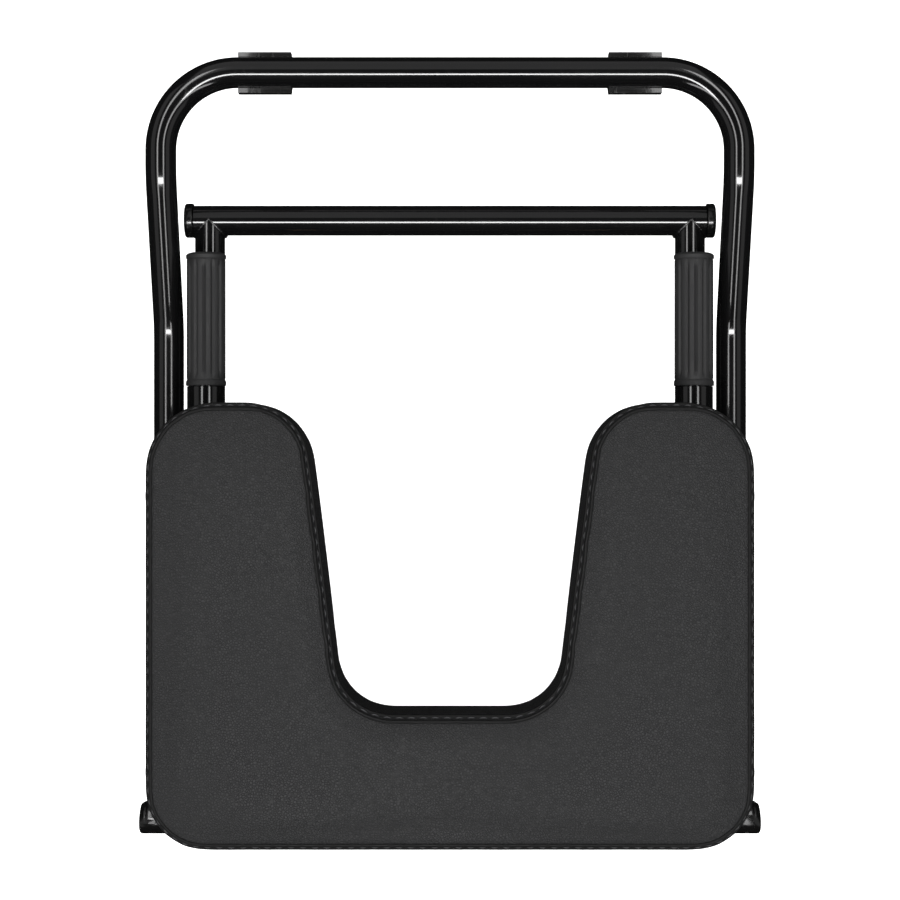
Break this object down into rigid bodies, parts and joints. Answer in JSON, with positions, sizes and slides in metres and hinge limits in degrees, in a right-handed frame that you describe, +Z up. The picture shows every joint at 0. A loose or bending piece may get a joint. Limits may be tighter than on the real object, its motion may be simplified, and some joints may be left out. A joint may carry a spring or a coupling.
{
  "type": "folding headstand bench",
  "caption": "Fold-flat padded headstand bench with a U-shaped seat, crossed tube legs, gripped handles and rubber feet, shown folded.",
  "frame": {"origin": "middle of the folded bench's footprint, at floor level", "axes": "+X to the bench's right, +Y towards the front foot bar, along the folded length, +Z up"},
  "size_m": [0.414, 0.515, 0.108],
  "materials": {
    "black_paint": "glossy black powder coat on steel tube and plate",
    "grip_rubber": "matte dark grey ribbed rubber sleeve",
    "foot_rubber": "satin black moulded rubber",
    "plug_plastic": "black moulded polyethylene",
    "vinyl": "dark grey-black artificial leather with a fine pebble grain, sewn along the upper edge",
    "foam": "open-cell foam block",
    "plywood": "plain plywood",
    "zinc": "zinc-plated steel fasteners and lock bolts",
    "nylon": "natural nylon washers and spacers"
  },
  "bodies": {
    "front_leg": {"front_leg_tube": "black_paint", "front_leg_plug_left": "plug_plastic", "front_leg_plug_right": "plug_plastic", "front_foot_left": "foot_rubber", "front_foot_right": "foot_rubber", "front_foot_screw_left": "zinc", "front_foot_screw_right": "zinc", "pivot_bolt_left": "zinc", "pivot_bolt_right": "zinc", "pivot_nut_left": "zinc", "pivot_nut_right": "zinc", "pivot_spacer_left": "nylon", "pivot_spacer_right": "nylon", "hinge_washer_left": "nylon", "hinge_washer_right": "nylon"},
    "rear_leg": {"rear_foot_bar": "black_paint", "rear_foot_cap_left": "foot_rubber", "rear_foot_cap_right": "foot_rubber", "rear_side_tube_left": "black_paint", "rear_side_tube_right": "black_paint", "rear_crossbar": "black_paint", "crossbar_cap_left": "foot_rubber", "crossbar_cap_right": "foot_rubber"},
    "seat": {"seat_rail_left": "black_paint", "seat_rail_right": "black_paint", "rail_plug_left": "plug_plastic", "rail_plug_right": "plug_plastic", "handle_tube_left": "black_paint", "handle_tube_right": "black_paint", "grip_left": "grip_rubber", "grip_right": "grip_rubber", "seat_rear_tube": "black_paint", "hinge_ear_left": "black_paint", "hinge_ear_right": "black_paint", "hinge_bolt_left": "zinc", "hinge_bolt_right": "zinc", "lock_stop_left": "black_paint", "lock_stop_right": "black_paint", "lock_barrel_left": "black_paint", "lock_barrel_right": "black_paint", "seat_board": "plywood", "pad_foam": "foam", "pad_cover": "vinyl", "board_screw_1": "zinc", "board_screw_2": "zinc", "board_screw_3": "zinc", "board_screw_4": "zinc"},
    "lock_left": {"lock_bolt_left": "zinc", "lock_knob_left": "plug_plastic"},
    "lock_right": {"lock_bolt_right": "zinc", "lock_knob_right": "plug_plastic"}
  },
  "joints": [
    {"name": "seat_fold", "type": "hinge", "parent": "front_leg", "child": "seat", "pos_m": [0, -0.216, 0.0115], "axis": [1, 0, 0], "range_deg": [0, 52.9]},
    {"name": "leg_scissor", "type": "hinge", "parent": "front_leg", "child": "rear_leg", "pos_m": [0, -0.0318, 0.0115], "axis": [1, 0, 0], "range_deg": [0, 105.8]},
    {"name": "lock_left_slide", "type": "slide", "parent": "seat", "child": "lock_left", "axis": [0, 0, -1], "range_m": [0, 0.013]},
    {"name": "lock_right_slide", "type": "slide", "parent": "seat", "child": "lock_right", "axis": [0, 0, -1], "range_m": [0, 0.013]}
  ],
  "couplings": [
    {"joint": "leg_scissor", "follows": "seat_fold", "ratio": 2}
  ]
}
